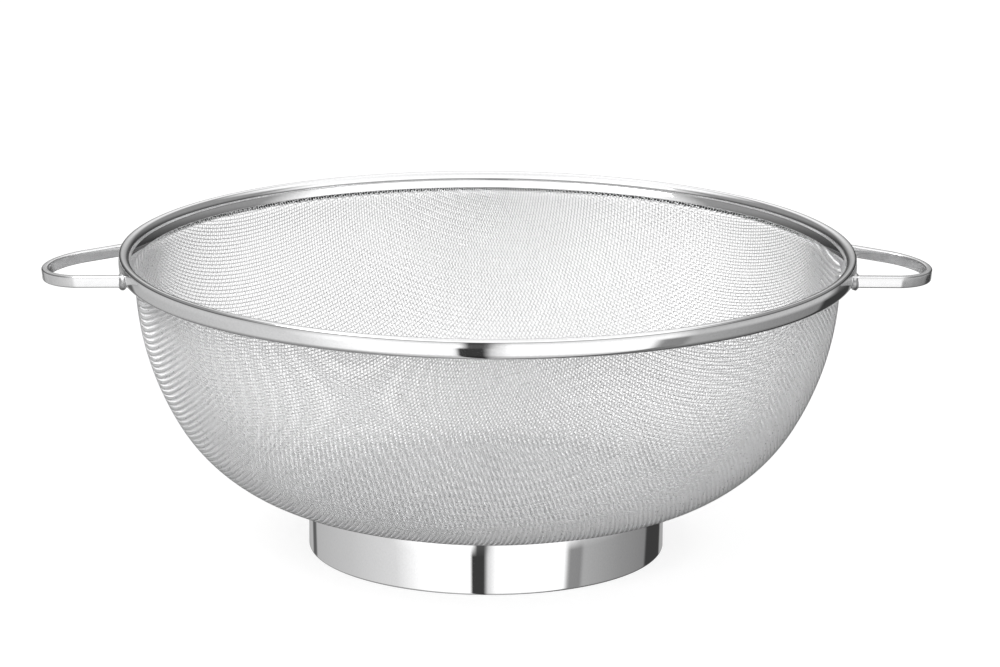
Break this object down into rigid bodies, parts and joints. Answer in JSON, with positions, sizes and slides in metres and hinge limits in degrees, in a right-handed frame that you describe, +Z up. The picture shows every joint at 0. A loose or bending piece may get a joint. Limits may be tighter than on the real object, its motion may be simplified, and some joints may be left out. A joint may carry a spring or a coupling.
{
  "type": "footed mesh strainer bowl",
  "caption": "Round woven-wire strainer bowl with a rolled steel rim, looped strip handles on opposite sides and a polished foot ring.",
  "frame": {"origin": "on the floor plane at the centre of the foot ring", "axes": "+X through the two handles, +Y across them, +Z up"},
  "size_m": [0.339, 0.28, 0.1165],
  "materials": {
    "steel_mesh": "woven stainless wire, bright drawn",
    "steel_polished": "polished stainless sheet",
    "steel_foot": "mirror-polished stainless strip",
    "steel_handle": "tumbled bright stainless strip",
    "steel_wire": "drawn stainless wire, hidden in the rim",
    "steel_weld": "ground weld metal"
  },
  "bodies": {
    "root": {"mesh_bowl": "steel_mesh", "rim_band": "steel_polished", "rim_core_wire": "steel_wire", "rim_seam_weld": "steel_weld", "foot_ring": "steel_foot", "foot_seam_weld": "steel_weld", "handle_left": "steel_handle", "handle_right": "steel_handle", "handle_weld_left_front": "steel_weld", "handle_weld_left_back": "steel_weld", "handle_weld_right_front": "steel_weld", "handle_weld_right_back": "steel_weld"}
  },
  "joints": []
}
